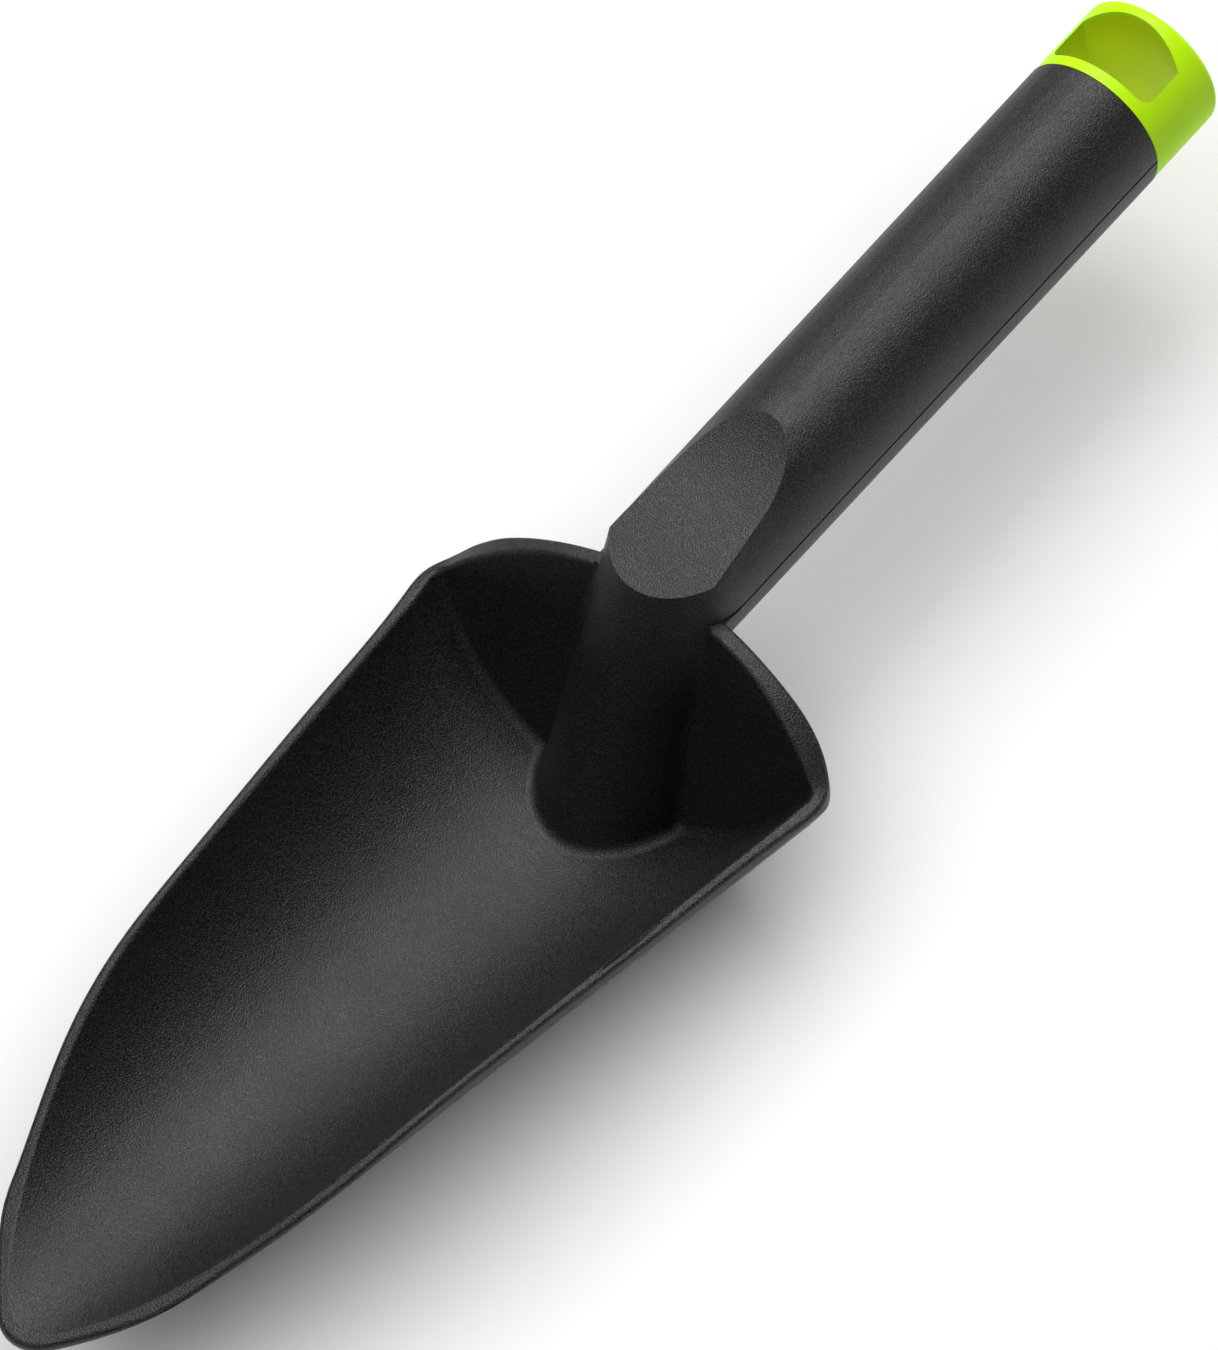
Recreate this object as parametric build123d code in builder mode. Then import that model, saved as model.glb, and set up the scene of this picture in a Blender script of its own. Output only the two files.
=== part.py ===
from build123d import *
import os
from math import atan, cos, radians, sin, sqrt, tan

os.makedirs("parts", exist_ok=True)

# Hand trowel: one black moulding (scoop blade, neck and tubular handle) and a green end cap.
# +X runs from the tip of the blade to the capped end of the handle, +Z is up and the trowel
# lies on its belly with the scoop open upwards. The origin is on the surface it rests on,
# half way along its length.

# ---- driving dimensions, millimetres and degrees ----
overall_length = 332.0
axis_z = 44.2                # handle axis above the resting surface

# handle and neck
cap_length = 18.7             # green part that shows
handle_radius = 15.0          # at the capped end
neck_radius = 14.5            # where the handle bends into the neck
foot_radius = 15.3            # neck, one neck_length below the bend
neck_length = 60.0
elbow_from_joint = 122.9      # cap joint to the bend
neck_lean = 31.0              # neck axis, from vertical

# thumb rest: a flat cut into the bend, rising slowly and then sweeping up to the handle
rest_corner_from_joint = 136.0
rest_corner_height = 7.2      # above the axis
rest_slope = 0.11
rest_flat_end_from_joint = 112.0
rest_end_from_joint = 93.0
rest_end_height = 15.4

# scoop: round sections that narrow evenly, over a straight floor; depths are below the axis
tip_wall = 2.2
heel_wall = 3.2
heel_from_joint = 148.0       # cap joint to the section given as the heel
heel_depth = 41.7
heel_radius = 47.2
tip_depth = 12.9
tip_section_radius = 27.2
heel_round = 6.0
crease_round = 2.0

# back wall: leans back, and bows forward towards the sides
back_wall = 4.2
back_from_joint = 131.4       # cap joint to its inner face, at axis height
back_slope = 0.45             # run per unit of height
back_bow = 7.6                # inner face, bow at back_half_width from the middle
outer_bow = 5.6
back_half_width = 60.0

# rim; depths are below the axis
mid_blade_from_joint = 234.0
mid_depth = 4.2
tip_drop = 9.2                # from mid blade to the tip
shoulder_depth = 13.5
arch_half_width = 48        # the rim over the back wall is part of an ellipse
arch_rise = 27.0
arch_top = 1.7                # its crown, above the axis
tip_radius = 8.0              # plan view
rim_round = 0.9

# hollows
bore_radius = 12.0            # at the joint
bore_end_radius = 11.5
bore_depth = 93.0
neck_wall = 2.8
hollow_start = 17.0           # from the bend down to the top of the hollow
web = 2.5                     # rib inside the hollow neck

# end cap
cap_relief = 0.12             # how much smaller than the handle it is, in radius
cap_edge_round = 1.3
joint_edge = 0.25
spigot_length = 18.0
spigot_radius = 11.95
spigot_wall = 2.0
bead_from_joint = 12.0
bead_radius = 12.4
groove_radius = 12.5
bead_half_length = 1.6
hole_start = 2.7              # cap joint to the hanging hole
hole_side_end = 12.4
hole_end = 15.7
hole_half_width = 10.8
hole_corner = 2.0
hole_draft = 1.5

# ---- places worked out from them ----
cap_end_x = overall_length / 2
tip_x = -overall_length / 2
joint_x = cap_end_x - cap_length
elbow_x = joint_x - elbow_from_joint
back_x = joint_x - back_from_joint
heel_x = joint_x - heel_from_joint
shoulder_x = heel_x + 2
mid_blade_x = joint_x - mid_blade_from_joint


def along_scoop(at_tip, at_heel, x):
    """A size that changes evenly from the tip to the heel."""
    return at_tip + (at_heel - at_tip) * (x - tip_x) / (heel_x - tip_x)


def scoop_cone(tip_growth, heel_growth):
    """The tapering round body whose underside is the scoop, grown at the tip and the heel."""
    with BuildPart() as cone:
        for x in (tip_x - 8, back_x + 40):
            radius = along_scoop(tip_section_radius, heel_radius, x)
            depth = along_scoop(tip_depth, heel_depth, x)
            with BuildSketch(Plane.YZ.offset(x)):
                with Locations((0, axis_z - depth + radius)):
                    Circle(radius + along_scoop(tip_growth, heel_growth, x))
        loft(ruled=True)
    return cone.part


def ahead_of_back_wall(thickness, bow):
    """Everything on the blade side of the leaning, bowed back wall."""
    lean = atan(back_slope)
    wall_plane = Plane(
        origin=(back_x, 0, axis_z),
        x_dir=(cos(lean), 0, -sin(lean)),
        z_dir=(sin(lean), 0, cos(lean)),
    )
    side_x = thickness - bow
    with BuildPart() as ahead:
        with BuildSketch(wall_plane):
            with BuildLine():
                ThreePointArc((side_x, -back_half_width), (thickness, 0), (side_x, back_half_width))
                Polyline(
                    (side_x, back_half_width),
                    (-220, back_half_width),
                    (-220, -back_half_width),
                    (side_x, -back_half_width),
                )
            make_face()
        extrude(amount=110, both=True)
    return ahead.part


def smooth_step(t):
    """Eases from 0 to 1."""
    t = min(max(t, 0), 1)
    return t * t * (3 - 2 * t)


def positive_part(value, softness):
    """The value where it is well above 0, and almost 0 where it is below, without a corner."""
    return (value + sqrt(value**2 + softness**2)) / 2


def rim_height(x, y):
    """Height of the rim over a point of the plan.

    Along the sides the rim dips from mid blade to the tip and to the shoulders, and over the
    back wall it arches up to the handle.
    """
    tip_dip_x = mid_blade_x - 4
    to_tip = smooth_step((tip_dip_x - x) / (tip_dip_x - tip_x))
    to_shoulder = positive_part(x - mid_blade_x, 9) / (shoulder_x - mid_blade_x)
    side = axis_z - mid_depth - tip_drop * to_tip - (shoulder_depth - mid_depth) * to_shoulder
    share = min(abs(y) / arch_half_width, 0.999)
    arch = axis_z + arch_top - arch_rise * (1 - sqrt(1 - share**2))
    return side + positive_part(arch - side, 2.0) * smooth_step((x - shoulder_x + 4) / 8)


# ---- blade shell ----
with BuildPart() as hull:
    add(scoop_cone(tip_wall, heel_wall))
    add(ahead_of_back_wall(back_wall, outer_bow), mode=Mode.INTERSECT)
    fillet(hull.edges().sort_by(Edge.length)[-1], radius=heel_round)

with BuildPart() as hollow:
    add(scoop_cone(0, 0))
    add(ahead_of_back_wall(0, back_bow), mode=Mode.INTERSECT)
    fillet(hollow.edges().sort_by(Edge.length)[-1], radius=crease_round)

rim_surface = Face.make_surface_from_array_of_points(
    [
        [(x, y, rim_height(x, y)) for y in range(-54, 55, 3)]
        for x in range(int(tip_x) - 6, int(back_x) + 23, 4)
    ],
    tol=0.02,
    min_deg=3,
    max_deg=6,
)
with BuildPart() as under_rim:
    extrude(rim_surface, amount=70, dir=(0, 0, -1))

# plan outline: a long ogive with a rounded tip, round shoulders and a bowed back
with BuildPart() as plan:
    with BuildSketch():
        with BuildLine():
            turn = radians(48)
            tip_arc_end = (tip_x + tip_radius - tip_radius * cos(turn), tip_radius * sin(turn))
            side = Spline(
                (joint_x - 127.1, 0),
                (joint_x - 131.2, 30),
                (joint_x - 135.4, 41.2),
                (joint_x - 141.5, 46.1),
                (joint_x - 150.0, 45.8),
                (joint_x - 180.0, 42.1),
                (joint_x - 215.0, 37.8),
                (joint_x - 240.0, 34.7),
                (joint_x - 262.0, 30.3),
                (joint_x - 285.0, 22.3),
                tip_arc_end,
                tangents=((0, 1), (-tan(turn), -1)),
            )
            ThreePointArc(tip_arc_end, (tip_x, 0), (tip_arc_end[0], -tip_arc_end[1]))
            mirror(side, about=Plane.XZ)
        make_face()
    extrude(amount=axis_z + 20)

with BuildPart() as blade:
    add(hull.part)
    add(plan.part, mode=Mode.INTERSECT)
    add(hollow.part, mode=Mode.SUBTRACT)
    add(under_rim.part, mode=Mode.INTERSECT)
    rim_face = (
        blade.faces()
        .filter_by(lambda face: face.bounding_box().min.Z > axis_z - 16)
        .sort_by(Face.area)[-1]
    )
    fillet(rim_face.edges(), radius=rim_round)

# ---- neck and handle ----
neck_direction = Vector(-sin(radians(neck_lean)), 0, -cos(radians(neck_lean)))
elbow = Vector(elbow_x, 0, axis_z)
mitre_normal = (Vector(1, 0, 0) - neck_direction).normalized()
mitre = Plane(origin=elbow, x_dir=(0, 1, 0), z_dir=mitre_normal)
half_bend = radians(90 - neck_lean) / 2
neck_top = Plane(origin=elbow, x_dir=(0, 1, 0), z_dir=neck_direction)


def neck_cone(inset, start):
    """The round neck from a distance below the bend to past the blade, less an inset in radius."""
    growth = (foot_radius - neck_radius) / neck_length
    end = neck_length + 10
    with BuildPart() as cone:
        with BuildSketch(neck_top.offset(start)):
            Circle(neck_radius - inset)
        with BuildSketch(neck_top.offset(end)):
            Circle(neck_radius + growth * end - inset)
        loft(ruled=True)
    return cone.part


with BuildPart() as handle:
    with BuildSketch(Plane.XZ):
        with BuildLine():
            Polyline(
                (joint_x, axis_z),
                (joint_x, axis_z + handle_radius),
                (elbow_x, axis_z + neck_radius),
                (elbow_x - 14, axis_z + neck_radius),
                (elbow_x - 14, axis_z),
                close=True,
            )
        make_face()
    revolve(axis=Axis((0, 0, axis_z), (1, 0, 0)))
    # above the axis it ends in a mitre with the neck, below it runs on into the back wall
    with BuildSketch(Plane.XZ):
        Polygon(
            (elbow_x, axis_z),
            (elbow_x - 20 * sin(half_bend), axis_z + 20 * cos(half_bend)),
            (elbow_x - 30, axis_z + 20),
            (back_x + 1.5 - 16 * back_slope, axis_z - 16),
            (back_x + 1.5, axis_z),
            align=None,
        )
    extrude(amount=20, both=True, mode=Mode.SUBTRACT)

# below the handle the neck stays inside the back wall and the round of the heel
with BuildPart() as neck:
    with BuildSketch(neck_top):
        Circle(neck_radius)
    extrude(amount=-14)
    add(neck_cone(0, 0))
    split(bisect_by=mitre, keep=Keep.BOTTOM)
    with BuildSketch(Plane.XZ):
        Polygon(
            (elbow_x, axis_z),
            (back_x + 3, axis_z),
            (back_x + 3 - 35 * back_slope, axis_z - 35),
            (heel_x - 8, 0),
            (heel_x - 8, -20),
            (elbow_x + 30, -20),
            (elbow_x + 30, axis_z),
            align=None,
        )
    extrude(amount=20, both=True, mode=Mode.SUBTRACT)
    add(scoop_cone(tip_wall, heel_wall), mode=Mode.INTERSECT)

with BuildPart() as rest_cut:
    with BuildSketch(Plane.XZ):
        with BuildLine():
            rest_corner = (joint_x - rest_corner_from_joint, axis_z + rest_corner_height)
            run = rest_corner_from_joint - rest_flat_end_from_joint
            rest_flat_end = (rest_corner[0] + run, rest_corner[1] + run * rest_slope)
            rest_end = (joint_x - rest_end_from_joint, axis_z + rest_end_height)
            far_x = rest_corner[0] - 14
            Line((far_x, rest_corner[1] - 14 * rest_slope), rest_flat_end)
            TangentArc(rest_flat_end, rest_end, tangent=(1, rest_slope))
            Polyline(
                rest_end,
                (rest_end[0], axis_z + 30),
                (far_x, axis_z + 30),
                (far_x, rest_corner[1] - 14 * rest_slope),
            )
        make_face()
    extrude(amount=30, both=True)

with BuildPart() as grip:
    add(handle.part)
    add(neck.part)
    add(rest_cut.part, mode=Mode.SUBTRACT)

# the hollow neck is open behind and below, and a rib stiffens it
with BuildPart() as neck_hollow:
    add(neck_cone(neck_wall, hollow_start))
    Box(200, web, 200, mode=Mode.SUBTRACT)

with BuildPart() as trowel_body:
    add(blade.part)
    add(grip.part)
    add(neck_hollow.part, mode=Mode.SUBTRACT)
    with BuildSketch(Plane.XZ):
        with BuildLine():
            bead_x = joint_x - bead_from_joint
            Polyline(
                (joint_x, axis_z),
                (joint_x, axis_z + bore_radius),
                (bead_x + bead_half_length, axis_z + bore_radius),
                (bead_x, axis_z + groove_radius),
                (bead_x - bead_half_length, axis_z + bore_radius),
                (joint_x - bore_depth, axis_z + bore_end_radius),
                (joint_x - bore_depth, axis_z),
                close=True,
            )
        make_face()
    revolve(axis=Axis((0, 0, axis_z), (1, 0, 0)), mode=Mode.SUBTRACT)
    mouth = trowel_body.faces().filter_by(Axis.X).sort_by(Axis.X)[-1]
    chamfer(mouth.outer_wire().edges(), length=joint_edge)
trowel_body.part.label = "trowel_body"
export_step(trowel_body.part, "parts/trowel_body.step")

# ---- end cap ----
cap_radius = handle_radius - cap_relief
with BuildPart() as end_cap:
    with BuildSketch(Plane.XZ):
        with BuildLine():
            spigot_end_x = joint_x - spigot_length
            Polyline(
                (cap_end_x, axis_z),
                (cap_end_x, axis_z + cap_radius),
                (joint_x, axis_z + cap_radius),
                (joint_x, axis_z + spigot_radius),
                (bead_x + bead_half_length, axis_z + spigot_radius),
                (bead_x, axis_z + bead_radius),
                (bead_x - bead_half_length, axis_z + spigot_radius),
                (spigot_end_x, axis_z + spigot_radius),
                (spigot_end_x, axis_z + spigot_radius - spigot_wall),
                (joint_x, axis_z + spigot_radius - spigot_wall),
                (joint_x, axis_z),
                close=True,
            )
        make_face()
    revolve(axis=Axis((0, 0, axis_z), (1, 0, 0)))
    fillet(end_cap.edges().filter_by(GeomType.CIRCLE).sort_by(Axis.X)[-1], radius=cap_edge_round)
    chamfer(end_cap.faces().filter_by(Axis.X).sort_by(Axis.X)[-2].outer_wire().edges(), length=joint_edge)
    # hanging hole: straight towards the handle, round towards the end
    with BuildSketch(Plane.XY.offset(axis_z)):
        with BuildLine():
            Polyline(
                (joint_x + hole_side_end, hole_half_width),
                (joint_x + hole_start, hole_half_width),
                (joint_x + hole_start, -hole_half_width),
                (joint_x + hole_side_end, -hole_half_width),
            )
            ThreePointArc(
                (joint_x + hole_side_end, -hole_half_width),
                (joint_x + hole_end, 0),
                (joint_x + hole_side_end, hole_half_width),
            )
        make_face()
        fillet(vertices().group_by(Axis.X)[0], radius=hole_corner)
    extrude(amount=handle_radius + 3, both=True, taper=-hole_draft, mode=Mode.SUBTRACT)

end_cap.part.label = "end_cap"
export_step(end_cap.part, "parts/end_cap.step")
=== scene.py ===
import math

import bmesh
import bpy
from mathutils import Matrix, Vector


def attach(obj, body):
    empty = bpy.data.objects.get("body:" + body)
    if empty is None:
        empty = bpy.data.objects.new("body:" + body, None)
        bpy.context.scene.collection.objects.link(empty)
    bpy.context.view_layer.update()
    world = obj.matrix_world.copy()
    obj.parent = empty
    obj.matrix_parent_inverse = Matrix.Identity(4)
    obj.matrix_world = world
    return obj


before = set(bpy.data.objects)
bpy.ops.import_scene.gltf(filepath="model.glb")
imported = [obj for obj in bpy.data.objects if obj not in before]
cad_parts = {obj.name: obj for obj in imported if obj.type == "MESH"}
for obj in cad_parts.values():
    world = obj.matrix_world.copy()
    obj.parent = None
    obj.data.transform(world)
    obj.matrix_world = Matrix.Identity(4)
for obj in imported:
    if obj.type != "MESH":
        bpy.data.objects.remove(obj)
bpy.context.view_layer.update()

# places and sizes of the CAD part, in metres
AXIS_Z = 0.0442  # the handle's axis
JOINT_X = 0.1473  # where the cap meets the handle
ELBOW_X = JOINT_X - 0.1229
HOLE_END_X = JOINT_X + 0.0157
TIP_X = -0.166
HEEL_X = JOINT_X - 0.148
TIP_RADIUS = 0.0272
HEEL_RADIUS = 0.0472
TIP_DEPTH = 0.0129
HEEL_DEPTH = 0.0417
WALL_X = JOINT_X - 0.1314
WALL_LEAN = math.atan(0.45)
WALL_HALF_SPAN = 0.060
WALL_BOW = 0.0076
NECK_LEAN = math.radians(31)
NECK_RADIUS = 0.0145
NECK_GROWTH = 0.0008 / 0.060  # of the radius, down the neck
CORNER_RADIUS = 0.0022
PARTING_WIDTH = 0.00048
FLOOR_SHEEN_WIDTH = 0.00050  # painted floor reflection: a paler strip under the parting line
FLOOR_SHEEN_DROP = 0.00080

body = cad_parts["trowel_body"]
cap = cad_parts["end_cap"]


# ---- materials ----
def new_material(name):
    """An empty node material and its shader."""
    material = bpy.data.materials.new(name)
    material.use_nodes = True
    tree = material.node_tree
    shader = tree.nodes["Principled BSDF"]
    return material, tree, shader


def noise(tree, scale, detail=2.0, roughness=0.5):
    """Noise in object space, so its grain has a real size."""
    place = tree.nodes.new("ShaderNodeTexCoord")
    node = tree.nodes.new("ShaderNodeTexNoise")
    node.inputs["Scale"].default_value = scale
    node.inputs["Detail"].default_value = detail
    node.inputs["Roughness"].default_value = roughness
    tree.links.new(place.outputs["Object"], node.inputs["Vector"])
    return node.outputs["Fac"]


def spread(tree, value, low, high, out_low, out_high):
    """Maps a value's range to another one, and holds it there."""
    node = tree.nodes.new("ShaderNodeMapRange")
    node.inputs["From Min"].default_value = low
    node.inputs["From Max"].default_value = high
    node.inputs["To Min"].default_value = out_low
    node.inputs["To Max"].default_value = out_high
    tree.links.new(value, node.inputs["Value"])
    return node.outputs["Result"]


def bump(tree, shader, height, strength, distance):
    node = tree.nodes.new("ShaderNodeBump")
    node.inputs["Strength"].default_value = strength
    node.inputs["Distance"].default_value = distance
    tree.links.new(height, node.inputs["Height"])
    tree.links.new(node.outputs["Normal"], shader.inputs["Normal"])


def mix_colors(tree, share, first, second):
    """Colours, plain or worked out, mixed by a share of the second."""
    node = tree.nodes.new("ShaderNodeMix")
    node.data_type = "RGBA"
    for color, socket in ((first, node.inputs["A"]), (second, node.inputs["B"])):
        if isinstance(color, tuple):
            socket.default_value = (*color, 1)
        else:
            tree.links.new(color, socket)
    tree.links.new(share, node.inputs["Factor"])
    return node.outputs["Result"]


def compute(tree, operation, *values):
    """One step of arithmetic on sockets and plain numbers."""
    node = tree.nodes.new("ShaderNodeMath")
    node.operation = operation
    for value, socket in zip(values, node.inputs):
        if isinstance(value, (int, float)):
            socket.default_value = value
        else:
            tree.links.new(value, socket)
    return node.outputs[0]


def band(tree, value, center, half_width, edge):
    """1 near a value and 0 away from it."""
    distance = compute(tree, "ABSOLUTE", compute(tree, "SUBTRACT", value, center))
    return spread(tree, distance, half_width, half_width + edge, 1, 0)


def object_axes(tree):
    place = tree.nodes.new("ShaderNodeTexCoord")
    axes = tree.nodes.new("ShaderNodeSeparateXYZ")
    tree.links.new(place.outputs["Object"], axes.inputs["Vector"])
    return axes.outputs


def along_handle(tree, height, half_width, edge):
    """A thin band along both sides of the handle at one height."""
    x, y, z = object_axes(tree)
    on_handle = spread(tree, x, ELBOW_X - 0.004, ELBOW_X - 0.002, 0, 1)
    return compute(tree, "MULTIPLY", band(tree, z, height, half_width, edge), on_handle)


def black_plastic():
    """Black plastic with a fine bright grain, the mould's parting line, and a painted floor
    reflection in a paler strip under that line.
    """
    material, tree, shader = new_material("black_plastic")
    grain = noise(tree, 3400, detail=1.5, roughness=0.7)
    speck = spread(tree, grain, 0.46, 0.66, 0, 1)
    line = along_handle(tree, AXIS_Z, PARTING_WIDTH / 2, 0.00012)
    # painted floor reflection: a paler strip just under the parting line, standing in for light off
    # the floor
    floor_sheen = along_handle(tree, AXIS_Z - FLOOR_SHEEN_DROP, FLOOR_SHEEN_WIDTH / 2, 0.00025)
    grained = mix_colors(tree, speck, (0.0015, 0.0016, 0.0018), (0.036, 0.037, 0.0397))
    sheened = mix_colors(tree, floor_sheen, grained, (0.040, 0.041, 0.043))
    lined = mix_colors(tree, line, sheened, (0.001, 0.001, 0.001))
    tree.links.new(lined, shader.inputs["Base Color"])
    gloss = spread(tree, noise(tree, 60, detail=3.0), 0.3, 0.7, 0.40, 0.48)
    tree.links.new(compute(tree, "MAXIMUM", gloss, line), shader.inputs["Roughness"])
    shader.inputs["IOR"].default_value = 1.47
    height = compute(tree, "SUBTRACT", grain, compute(tree, "MULTIPLY", line, 3.0))
    bump(tree, shader, height, 1.0, 0.00017)
    return material


def green_plastic():
    """Lime plastic with painted shade inside the hanging hole, where it is deeper and yellower, and a
    little grain.
    """
    material, tree, shader = new_material("green_plastic")
    x, y, z = object_axes(tree)
    rise = compute(tree, "SUBTRACT", z, AXIS_Z)
    across_square = compute(tree, "MULTIPLY", y, y)
    rise_square = compute(tree, "MULTIPLY", rise, rise)
    radius_square = compute(tree, "ADD", across_square, rise_square)
    under_skin = spread(tree, radius_square, 0.0137**2, 0.0146**2, 1, 0)
    before_end = spread(tree, x, HOLE_END_X + 0.0003, HOLE_END_X + 0.0009, 1, 0)
    inside = compute(tree, "MULTIPLY", under_skin, before_end)
    tone = spread(tree, noise(tree, 90), 0.3, 0.7, 0, 1)
    lime = mix_colors(tree, tone, (0.52, 0.93, 0.003), (0.555, 0.97, 0.004))
    # painted shade: a deeper, yellower lime inside the hanging hole
    both = mix_colors(tree, inside, lime, (0.66, 0.79, 0.002))
    tree.links.new(both, shader.inputs["Base Color"])
    grain = noise(tree, 1700, detail=1.5)
    tree.links.new(spread(tree, grain, 0.3, 0.7, 0.46, 0.56), shader.inputs["Roughness"])
    shader.inputs["Specular IOR Level"].default_value = 0.18
    bump(tree, shader, grain, 0.3, 0.00006)
    return material


def assign(obj, material):
    obj.data.materials.clear()
    obj.data.materials.append(material)


assign(body, black_plastic())
assign(cap, green_plastic())

# ---- the round inside corner where the neck stands in the scoop ----
DOWN_NECK = Vector((-math.sin(NECK_LEAN), 0, -math.cos(NECK_LEAN)))
ACROSS_NECK = Vector((math.cos(NECK_LEAN), 0, -math.sin(NECK_LEAN)))
ACROSS_WALL = Vector((math.cos(WALL_LEAN), 0, -math.sin(WALL_LEAN)))
ELBOW = Vector((ELBOW_X, 0, AXIS_Z))


def floor_gap(p):
    """Distance from the inside of the scoop, and the direction away from it."""
    radius_run = (HEEL_RADIUS - TIP_RADIUS) / (HEEL_X - TIP_X)
    depth_run = (HEEL_DEPTH - TIP_DEPTH) / (HEEL_X - TIP_X)
    radius = TIP_RADIUS + radius_run * (p.x - TIP_X)
    depth = TIP_DEPTH + depth_run * (p.x - TIP_X)
    rise = p.z - (AXIS_Z - depth + radius)
    reach = math.hypot(p.y, rise)
    away = Vector((radius_run + rise / reach * (radius_run - depth_run), -p.y / reach, -rise / reach))
    return (radius - reach) / away.length, away.normalized()


def wall_gap(p):
    """The same for the bowed back wall."""
    bow_radius = (WALL_HALF_SPAN**2 + WALL_BOW**2) / (2 * WALL_BOW)
    u = (p - Vector((WALL_X, 0, AXIS_Z))).dot(ACROSS_WALL) + bow_radius
    reach = math.hypot(u, p.y)
    away = -(ACROSS_WALL * u + Vector((0, p.y, 0))) / reach
    return bow_radius - reach, away


def around_neck(distance, angle, offset):
    """A point beside the neck, and the direction out of the neck there."""
    out = math.cos(angle) * -ACROSS_NECK + math.sin(angle) * Vector((0, 1, 0))
    radius = NECK_RADIUS + distance * NECK_GROWTH + offset
    return ELBOW + DOWN_NECK * distance + out * radius, out


def halve(low, high, value):
    """Where a value that starts positive goes through 0."""
    for _ in range(40):
        middle = (low + high) / 2
        if value(middle) > 0:
            low = middle
        else:
            high = middle
    return low


def corner_path():
    """The round's centre and radius, and the directions out of the neck and off the scoop."""
    r = CORNER_RADIUS
    floor_steps = 24
    blend_steps = 6
    wall_steps = 32
    top_distance = 0.0034

    def on_floor(angle):
        distance = halve(0, 0.065, lambda d: floor_gap(around_neck(d, angle, r)[0])[0] - r)
        return distance, around_neck(distance, angle, r)

    def on_wall(distance, r):
        angle = halve(0, math.pi, lambda a: wall_gap(around_neck(distance, a, r)[0])[0] - r)
        return around_neck(distance, angle, r)

    last = halve(0, math.pi, lambda a: wall_gap(on_floor(a)[1][0])[0] - r)
    corner_distance = on_floor(last)[0]
    side = []
    for step in range(floor_steps + 1):
        place, out = on_floor(last * step / floor_steps)[1]
        side.append((place, r, out, floor_gap(place)[1]))
    for step in range(1, blend_steps):
        away = floor_gap(place)[1].lerp(wall_gap(place)[1], step / blend_steps).normalized()
        side.append((place, r, out, away))
    for step in range(wall_steps + 1):
        share = step / wall_steps  # up the back wall; the round is widest below halfway
        wall_radius = r + 0.0080 * share - 0.0098 * share**2
        distance = corner_distance + (top_distance - corner_distance) * share
        place, out = on_wall(distance, wall_radius)
        side.append((place, wall_radius, out, wall_gap(place)[1]))
    flip = Vector((1, -1, 1))
    other = [(place * flip, r, out * flip, away * flip) for place, r, out, away in side[:0:-1]]
    return other + side


def round_corner():
    """A closed strip whose hollow side blends the neck into the scoop."""
    steps = 10
    flap = 0.0008
    sunk = 0.00010
    core = 0.0007
    rows = []
    for place, r, out, away in corner_path():
        turn = out.angle(away)
        row = []
        for step in range(steps + 1):
            a = turn * step / steps
            toward = (out * math.sin(turn - a) + away * math.sin(a)) / math.sin(turn)
            row.append(place - toward * r)
        along_neck = (away - out * out.dot(away)).normalized()
        along_scoop = (out - away * out.dot(away)).normalized()
        row.insert(0, row[0] + along_neck * flap - out * sunk)
        row.append(row[-1] + along_scoop * flap - away * sunk)
        row.append(place - (out + away) * (r + core) / (1 + out.dot(away)))
        rows.append(row)
    mesh = bmesh.new()
    rings = [[mesh.verts.new(p) for p in row] for row in rows]
    count = steps + 4
    for ring, after in zip(rings, rings[1:]):
        for i in range(count):
            j = (i + 1) % count
            face = mesh.faces.new((ring[i], ring[j], after[j], after[i]))
            face.smooth = i < steps + 2
    mesh.faces.new(rings[0])
    mesh.faces.new(rings[-1][::-1])
    bmesh.ops.remove_doubles(mesh, verts=mesh.verts, dist=0.000005)
    bmesh.ops.recalc_face_normals(mesh, faces=mesh.faces)
    for edge in mesh.edges:
        edge.smooth = all(face.smooth for face in edge.link_faces)
    data = bpy.data.meshes.new("neck_corner")
    mesh.to_mesh(data)
    mesh.free()
    piece = bpy.data.objects.new("neck_corner", data)
    bpy.context.scene.collection.objects.link(piece)
    piece.data.materials.append(body.data.materials[0])
    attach(piece, "root")
    return piece


neck_corner = round_corner()

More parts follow.
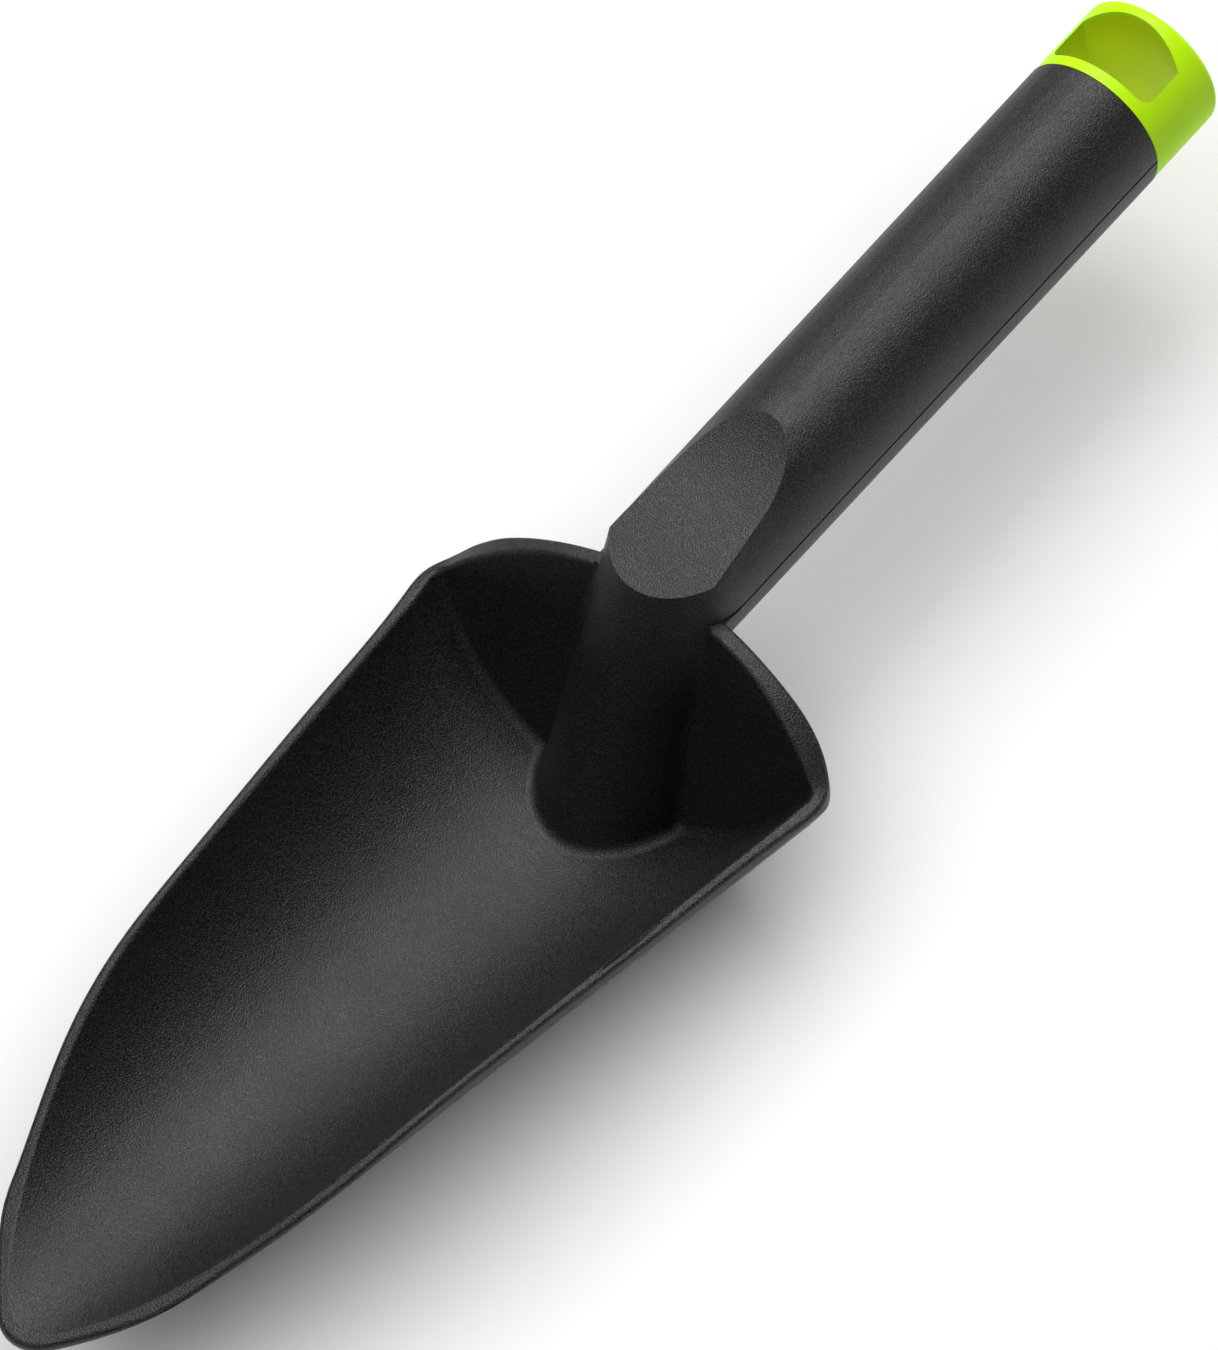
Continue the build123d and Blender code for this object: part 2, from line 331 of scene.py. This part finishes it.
# ---- floor, light and camera ----
floor_mesh = bpy.data.meshes.new("floor")
half = 6.0  # metres
floor_mesh.from_pydata(
    [(-half, -half, 0), (half, -half, 0), (half, half, 0), (-half, half, 0)], [], [(0, 1, 2, 3)]
)
floor = bpy.data.objects.new("floor", floor_mesh)
bpy.context.scene.collection.objects.link(floor)
floor_material, _, floor_shader = new_material("floor_paper")
floor_shader.inputs["Base Color"].default_value = (0.93, 0.93, 0.93, 1)
floor_shader.inputs["Roughness"].default_value = 0.9
assign(floor, floor_material)

world = bpy.data.worlds.new("studio")
bpy.context.scene.world = world
world.use_nodes = True
world.node_tree.nodes["Background"].inputs["Color"].default_value = (1, 1, 1, 1)
world.node_tree.nodes["Background"].inputs["Strength"].default_value = 0.06


def area_light(name, direction, distance, size, power, receivers):
    """A soft box that looks at the object from a direction and lights only its receivers."""
    light = bpy.data.lights.new(name, "AREA")
    light.shape = "RECTANGLE"
    light.size, light.size_y = size
    light.energy = power
    obj = bpy.data.objects.new(name, light)
    target = Vector((0, 0, 0.03))
    place = target + Vector(direction).normalized() * distance
    obj.location = place
    obj.rotation_euler = (target - place).to_track_quat("-Z", "Y").to_euler()
    bpy.context.scene.collection.objects.link(obj)
    group = bpy.data.collections.new(name + "_receivers")
    for receiver in receivers:
        group.objects.link(receiver)
    obj.light_linking.receiver_collection = group


pieces = [body, cap, neck_corner]
area_light("soft_box", (0.44, 0.22, 0.87), 1.5, (0.75, 0.75), 24, pieces)
area_light("fill", (-0.55, 0.10, 0.80), 1.5, (0.7, 0.7), 4.2, pieces)
area_light("floor_wash", (0.0, 0.0, 1.0), 2.0, (3.5, 3.5), 85, [floor])

# the photograph's viewing direction, as the camera's three axes
right = Vector((0.62231, -0.77565, -0.10530))
up = Vector((0.66966, 0.45790, 0.58470))
back = Vector((-0.40531, -0.43439, 0.80438))
camera = bpy.data.cameras.new("camera")
camera.sensor_fit = "VERTICAL"
camera.sensor_height = 36
camera.lens = 288.3
camera.clip_end = 50
camera_object = bpy.data.objects.new("camera", camera)
turn = Matrix((right, up, back)).transposed()
camera_object.matrix_world = Matrix.Translation((-0.78722, -0.84584, 1.60292)) @ turn.to_4x4()
bpy.context.scene.collection.objects.link(camera_object)
bpy.context.scene.camera = camera_object

bpy.context.scene.view_settings.view_transform = "Standard"
